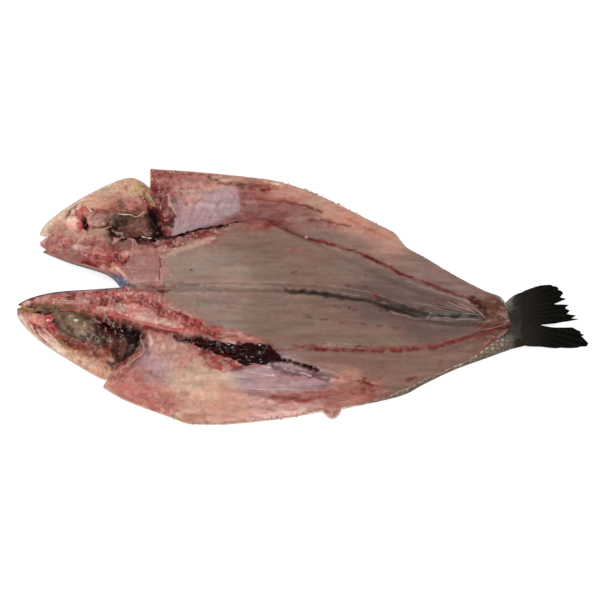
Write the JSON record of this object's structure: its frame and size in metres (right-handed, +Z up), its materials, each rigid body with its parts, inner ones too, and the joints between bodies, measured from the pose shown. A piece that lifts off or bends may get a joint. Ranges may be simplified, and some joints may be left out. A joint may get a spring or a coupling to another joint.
{
  "type": "whole meagre opened flat, cut side up",
  "caption": "Raw whole fish opened flat from the belly, cut side up, with a split head, thick loins along the seam, thin belly flaps, the backbone left in and a dark tail fin.",
  "frame": {"origin": "centre of the bounding box's base, on the surface that the fish lies on", "axes": "+X towards the tail fin, +Y towards the half without the backbone, +Z up, out of the cut face"},
  "size_m": [0.478, 0.2218, 0.0329],
  "materials": {
    "flesh": null,
    "skin": "wet scaled fish skin, dark along the back and silver on the sides",
    "fin": "thin dark olive-black fin web with rays",
    "bone": "pale wet bone and cartilage",
    "blood": "dark glossy clotted blood"
  },
  "bodies": {
    "root": {"opened_fish": "flesh"}
  },
  "joints": []
}
